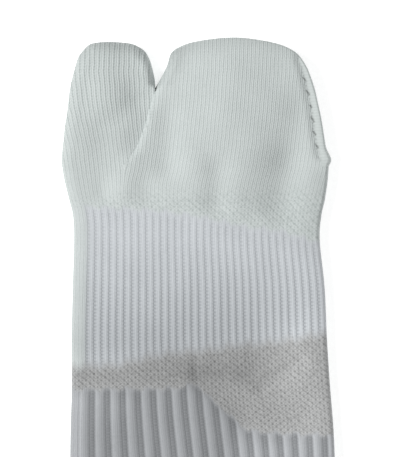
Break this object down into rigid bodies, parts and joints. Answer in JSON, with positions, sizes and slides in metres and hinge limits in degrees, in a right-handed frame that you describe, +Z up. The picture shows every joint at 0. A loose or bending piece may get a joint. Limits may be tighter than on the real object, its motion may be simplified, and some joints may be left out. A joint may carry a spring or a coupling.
{
  "type": "tabi_sock",
  "caption": "White knitted cotton tabi sock for the right foot, split between the big toe and the other toes, with a fine rib band, lattice vent, wide-ribbed arch band, ribbed leg and turned cuff, laid flat",
  "frame": {"origin": "middle of the laid sock's outline, on the surface it lies on", "axes": "+Y towards the toes, +X towards the outer side of the foot, +Z up from the surface"},
  "size_m": [0.1002, 0.2984, 0.0084],
  "materials": {
    "toe_knit": "matte",
    "rib_knit": "matte",
    "mesh_knit": "matte",
    "leg_knit": "matte"
  },
  "bodies": {
    "root": {"big_toe_pocket": "toe_knit", "four_toe_pocket": "toe_knit", "toe_seam": "toe_knit", "forefoot": "rib_knit", "instep_mesh": "mesh_knit", "arch_band": "rib_knit", "heel_pocket": "toe_knit", "leg": "leg_knit", "cuff": "leg_knit"}
  },
  "joints": []
}
